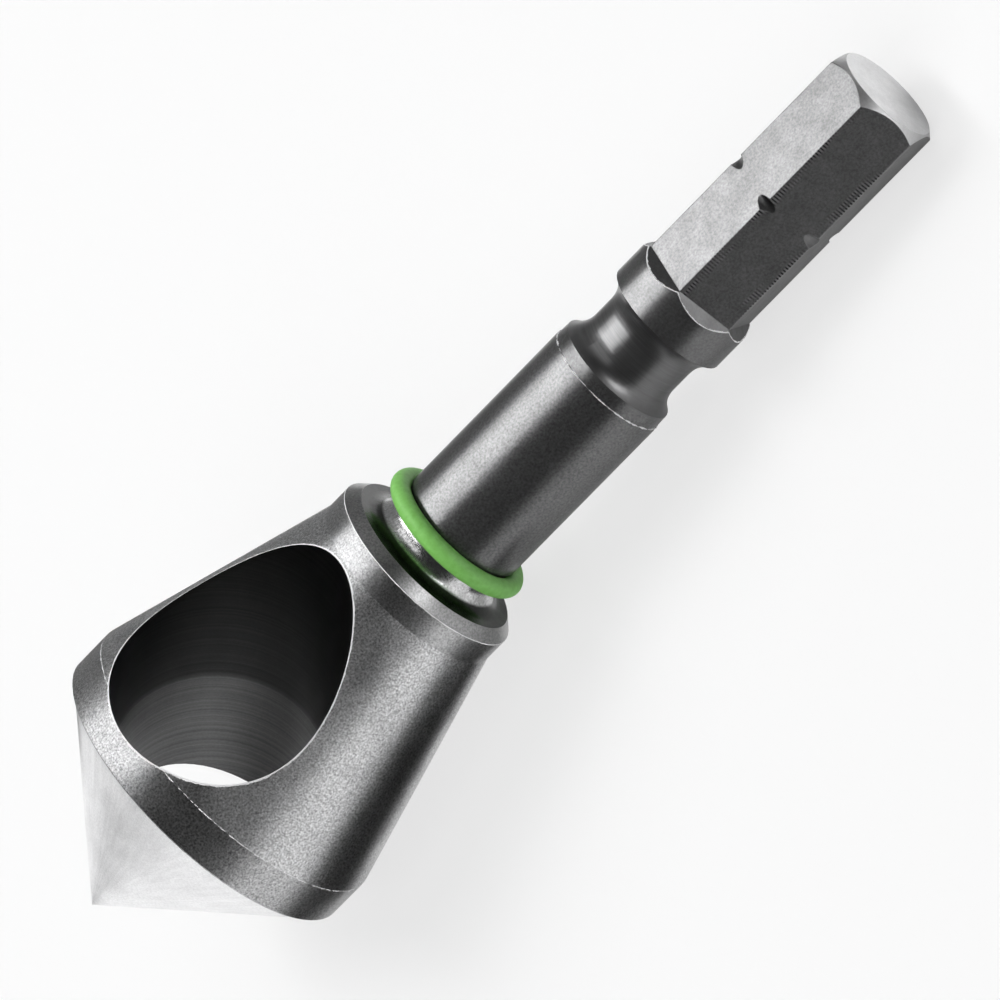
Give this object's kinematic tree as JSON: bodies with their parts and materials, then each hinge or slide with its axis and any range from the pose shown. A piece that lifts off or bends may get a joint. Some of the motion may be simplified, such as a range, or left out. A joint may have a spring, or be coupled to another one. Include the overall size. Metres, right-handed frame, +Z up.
{
  "type": "countersink bit",
  "caption": "Countersink bit with a ground cone, a slanted chip hole through the head, a grooved round shank and a hex drive end.",
  "frame": {"origin": "middle of the part's bounding box in plan, on the surface the part rests on", "axes": "+Z up, +X along the tool from the cutting point to the tail, seen from above; the tool axis slopes 7.2 degrees down towards the tail, as the part rests"},
  "size_m": [0.0662, 0.02, 0.0201],
  "materials": {
    "steel": "ground and blasted",
    "green_rubber": "satin"
  },
  "bodies": {
    "root": {"cutter_body": "steel", "sealing_ring": "green_rubber"}
  },
  "joints": []
}
